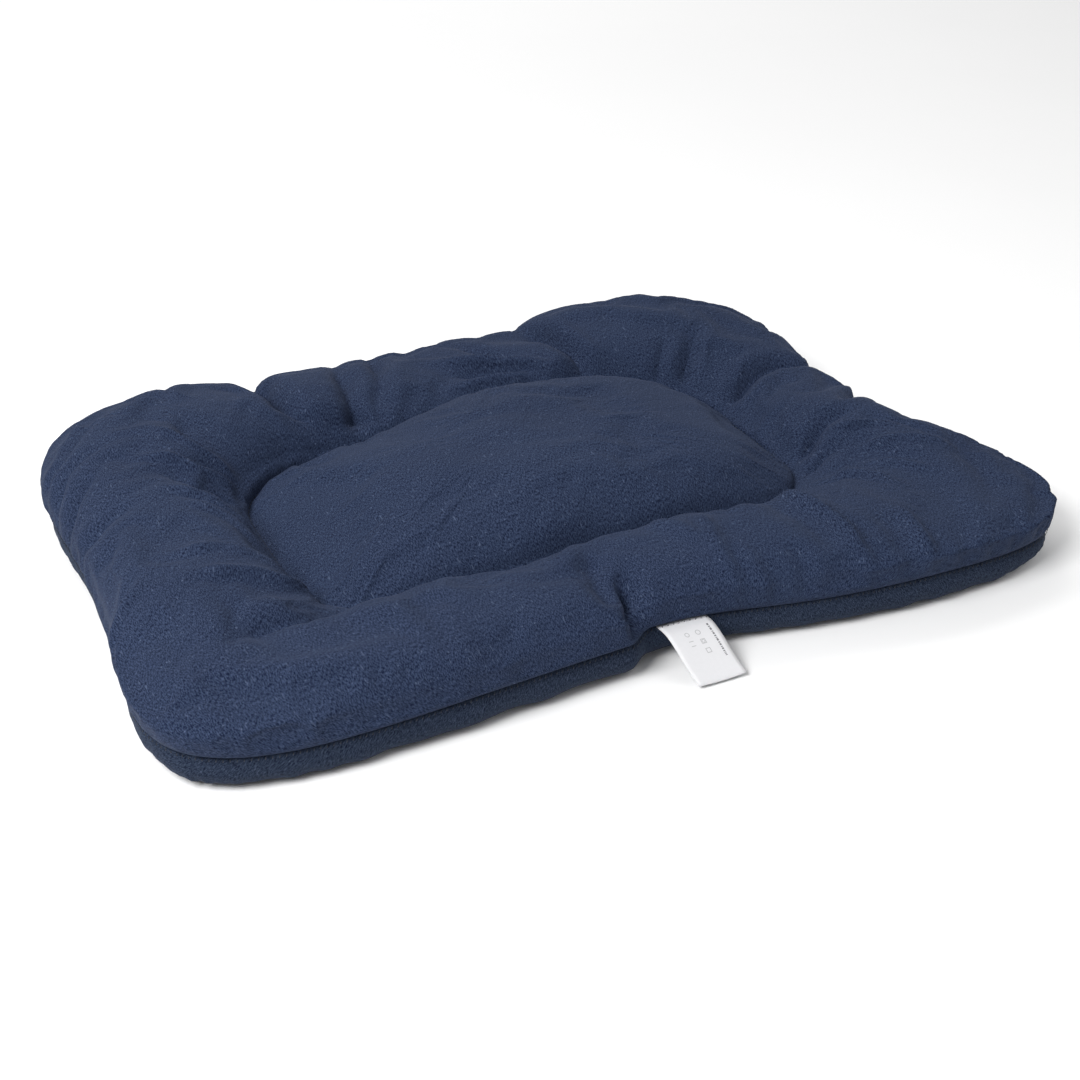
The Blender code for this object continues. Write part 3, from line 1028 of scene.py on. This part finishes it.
class CUSHION_OT_stitching(Operator):
    """Sew the perimeter, the channel and the closed filling gap"""

    bl_idname = "cushion.stitching"
    bl_label = "Stitching"

    def execute(self, context):
        settings = context.scene.cushion
        navy = sewing_thread("navy_thread", settings.thread_colour)
        angle = stations(settings.stations * 2)
        seam = np.concatenate([seam_line(angle), seam_height(angle)[:, None]], 1)
        channel = channel_line(angle)
        pitch = settings.stitch_length
        self.perimeter(seam, pitch, navy)
        self.channel(channel, pitch, navy)
        self.closing(seam, navy)
        return {"FINISHED"}

    def finish(self, piece, node, navy):
        dress(piece, navy)
        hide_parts(node)
        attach(piece, "cushion")

    def perimeter(self, seam, pitch, navy):
        """Ladder stitches that bridge the two panels in the seam line."""
        steps = even_steps(seam, pitch)
        along = np.roll(steps, -1, 0) - np.roll(steps, 1, 0)
        along = along / np.linalg.norm(along, axis=1, keepdims=True)
        up = np.array([0, 0, 1.0])
        out = np.cross(along, up)
        low = steps + out * 0.5 * MM - up * 1.3 * MM
        high = steps + out * 0.9 * MM + up * 0.9 * MM + along * 0.5 * MM
        piece = sew("perimeter_stitches", low, high, out, 0.55 * MM, 0.5 * MM)
        self.finish(piece, "perimeter_needle_thread", navy)
        inner = steps - out * 3 * MM - up * 1.9 * MM
        piece = sew(
            "perimeter_bobbin_stitches", inner - along * pitch * 0.42,
            inner + along * pitch * 0.42, -np.repeat(up[None], len(steps), 0),
            0.5 * MM, 0.2 * MM,
        )
        self.finish(piece, "perimeter_bobbin_thread", navy)

    def channel(self, channel, pitch, navy):
        """Straight lockstitches, seen in the channel and under the cushion."""
        for name, node, height, way in (
            ("channel_stitches", "channel_needle_thread", CHANNEL_TOP + 0.5 * MM, 1.0),
            ("channel_under_stitches", "channel_bobbin_thread", CHANNEL_UNDER - 0.5 * MM, -1.0),
        ):
            line = np.concatenate([channel, np.full((len(channel), 1), height)], 1)
            steps = even_steps(line, pitch)
            along = np.roll(steps, -1, 0) - np.roll(steps, 1, 0)
            along = along / np.linalg.norm(along, axis=1, keepdims=True)
            ups = np.repeat(np.array([[0, 0, way]]), len(steps), 0)
            piece = sew(
                name, steps - along * pitch * 0.40, steps + along * pitch * 0.40,
                ups, 0.8 * MM, 0.5 * MM,
            )
            self.finish(piece, node, navy)

    def closing(self, seam, navy):
        """Slanting hand stitches over the gap that the fibre went in by, at the back."""
        low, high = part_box("closing_thread")
        steps = even_steps(seam, 6 * MM)
        there = (steps[:, 1] > 0) & (steps[:, 0] > low.x) & (steps[:, 0] < high.x)
        steps = steps[there]
        along = np.array([1.0, 0, 0])
        out = np.array([0, 1.0, 0])
        up = np.array([0, 0, 1.0])
        starts = steps + out * 0.6 * MM - up * 2.4 * MM - along * 1.2 * MM
        ends = steps + out * 1.6 * MM + up * 1.8 * MM + along * 1.2 * MM
        ups = np.repeat(out[None], len(steps), 0)
        piece = sew("closing_stitches", starts, ends, ups, 0.8 * MM, 0.8 * MM)
        self.finish(piece, "closing_thread", navy)


class CUSHION_OT_label(Operator):
    """Make the folded care label and sew it into the front seam"""

    bl_idname = "cushion.label"
    bl_label = "Care label"

    def execute(self, context):
        settings = context.scene.cushion
        width = LABEL_HIGH.x - LABEL_LOW.x
        middle = (LABEL_HIGH.x + LABEL_LOW.x) / 2
        path = self.path()
        across = np.linspace(-0.5, 0.5, 13)
        rows = np.concatenate([[0], np.cumsum(np.linalg.norm(np.diff(path, axis=0), axis=1))])
        tip = rows[-1] / 2
        reach = 1 - np.abs(rows - tip) / tip
        points = []
        places = []
        for (y, z), run, out in zip(path, rows, reach):
            for share in across:
                curl = 0.9 * MM * out * (2 * share) ** 2 + 0.5 * MM * out * share
                x = middle + share * width + 10 * MM * out**1.2
                points.append((x, y, z + curl))
                places.append((share * width, min(run, 2 * tip - run) if run > tip else run))
        columns = len(across)
        faces = [
            (r * columns + k, (r + 1) * columns + k, (r + 1) * columns + k + 1, r * columns + k + 1)
            for r in range(len(path) - 1)
            for k in range(columns - 1)
        ]
        data = bpy.data.meshes.new("care_label_ribbon")
        data.from_pydata(points, [], faces)
        uv = data.uv_layers.new(name="Cloth")
        half = len(path) // 2
        for loop in data.loops:
            row = loop.vertex_index // columns
            x, run = places[loop.vertex_index]
            # The print is on the upper half only, so the lower half is moved away.
            uv.data[loop.index].uv = (x, run) if row >= half else (x - 1.0, run)
        data.shade_smooth()
        piece = link("care_label_ribbon", data)
        wall = piece.modifiers.new("Ribbon", "SOLIDIFY")
        wall.thickness = 0.35 * MM
        wall.offset = 0
        apply_modifiers(piece)
        satin = printed_ribbon("satin_ribbon", settings.label_colour, (0.05, 0.05, 0.06, 1.0))
        dress(piece, satin)
        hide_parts("care_label")
        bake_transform(piece)
        return {"FINISHED"}

    def path(self):
        """(y, z) along the ribbon: out of the seam, down to the floor, and back over."""
        seam_y = LABEL_HINGE.y + 7 * MM
        knots = np.array([
            (seam_y + 5 * MM, SEAM_Z),
            (seam_y, SEAM_Z),
            (LABEL_HINGE.y, LABEL_HINGE.z - 0.5 * MM),
            (LABEL_HINGE.y - 9 * MM, LABEL_HINGE.z - 6.5 * MM),
            (LABEL_LOW.y + 12 * MM, LABEL_LOW.z + 8.5 * MM),
            (LABEL_LOW.y + 1.5 * MM, LABEL_LOW.z + 1.0 * MM),
        ])
        t = np.linspace(0, len(knots) - 1, 30)
        centre = np.stack([cubic(t, knots[:, k]) for k in range(2)], -1)
        way = np.gradient(centre, axis=0)
        way = way / np.linalg.norm(way, axis=1, keepdims=True)
        across = np.stack([way[:, 1], -way[:, 0]], -1)
        half = 0.35 * MM
        upper, lower = centre + across * half, centre - across * half
        if upper[0, 1] < lower[0, 1]:
            upper, lower = lower, upper
        tip = centre[-1] + way[-1] * half
        return np.concatenate([lower, [tip], upper[::-1]])


def cubic(t, values):
    """A smooth curve through values at 0, 1, 2 and so on."""
    index = np.clip(np.floor(t).astype(int), 0, len(values) - 2)
    f = t - index
    slopes = np.gradient(values)
    a, b = values[index], values[index + 1]
    m, n = slopes[index], slopes[index + 1]
    return (
        a * (2 * f**3 - 3 * f**2 + 1) + m * (f**3 - 2 * f**2 + f)
        + b * (-2 * f**3 + 3 * f**2) + n * (f**3 - f**2)
    )


class CUSHION_OT_studio(Operator):
    """Lay the floor, and place the lights and the camera"""

    bl_idname = "cushion.studio"
    bl_label = "Studio"

    def execute(self, context):
        deselect_all()
        bpy.ops.mesh.primitive_plane_add(size=12, location=(0, 0, -0.3 * MM))
        floor = context.object
        floor.name = "studio_floor"
        bpy.ops.object.transform_apply(location=True)
        floor.data.materials.append(floor_finish("studio_white"))
        for name, place, size, power, aim in (
            ("key_light", (-1.2, -0.65, 1.35), 0.8, 36, (0, 0, 0.03)),
            ("top_light", (0.0, 3.6, 3.2), 4.0, 125, (0, 3.2, 0)),
            ("fill_light", (1.6, -1.2, 2.0), 1.8, 14, (0, 0, 0.03)),
        ):
            data = bpy.data.lights.new(name, "AREA")
            data.size = size
            data.energy = power
            light = link(name, data)
            light.location = place
            light.rotation_euler = (Vector(aim) - Vector(place)).to_track_quat("-Z", "Y").to_euler()
        world = bpy.data.worlds.new("studio_world")
        world.use_nodes = True
        world.node_tree.nodes["Background"].inputs["Color"].default_value = (1, 1, 1, 1)
        world.node_tree.nodes["Background"].inputs["Strength"].default_value = 0.33
        context.scene.world = world
        context.scene.view_settings.view_transform = "Standard"
        data = bpy.data.cameras.new("studio_camera")
        data.sensor_width = 36
        data.lens = 55.02
        camera = link("studio_camera", data)
        place, aim = Vector((-0.4843, -1.0288, 0.6418)), Vector((-0.0259, -0.0831, 0.030))
        camera.location = place
        camera.rotation_euler = (aim - place).to_track_quat("-Z", "Y").to_euler()
        context.scene.camera = camera
        return {"FINISHED"}


class CUSHION_PT_sidebar(Panel):
    bl_label = "Cushion bed"
    bl_space_type = "VIEW_3D"
    bl_region_type = "UI"
    bl_category = "Cushion"

    def draw(self, context):
        settings = context.scene.cushion
        for name in CushionSettings.__annotations__:
            self.layout.prop(settings, name)
        for operator in OPERATORS:
            self.layout.operator(operator.bl_idname)


OPERATORS = (
    CUSHION_OT_top,
    CUSHION_OT_underside,
    CUSHION_OT_filling,
    CUSHION_OT_stitching,
    CUSHION_OT_label,
    CUSHION_OT_studio,
)
CLASSES = (CushionSettings, *OPERATORS, CUSHION_PT_sidebar)


def register():
    for item in CLASSES:
        bpy.utils.register_class(item)
    bpy.types.Scene.cushion = PointerProperty(type=CushionSettings)


def unregister():
    del bpy.types.Scene.cushion
    for item in reversed(CLASSES):
        bpy.utils.unregister_class(item)


def main():
    register()
    bpy.ops.cushion.top()
    bpy.ops.cushion.underside()
    bpy.ops.cushion.filling()
    bpy.ops.cushion.stitching()
    bpy.ops.cushion.label()
    bpy.ops.cushion.studio()


if __name__ == "__main__":
    main()
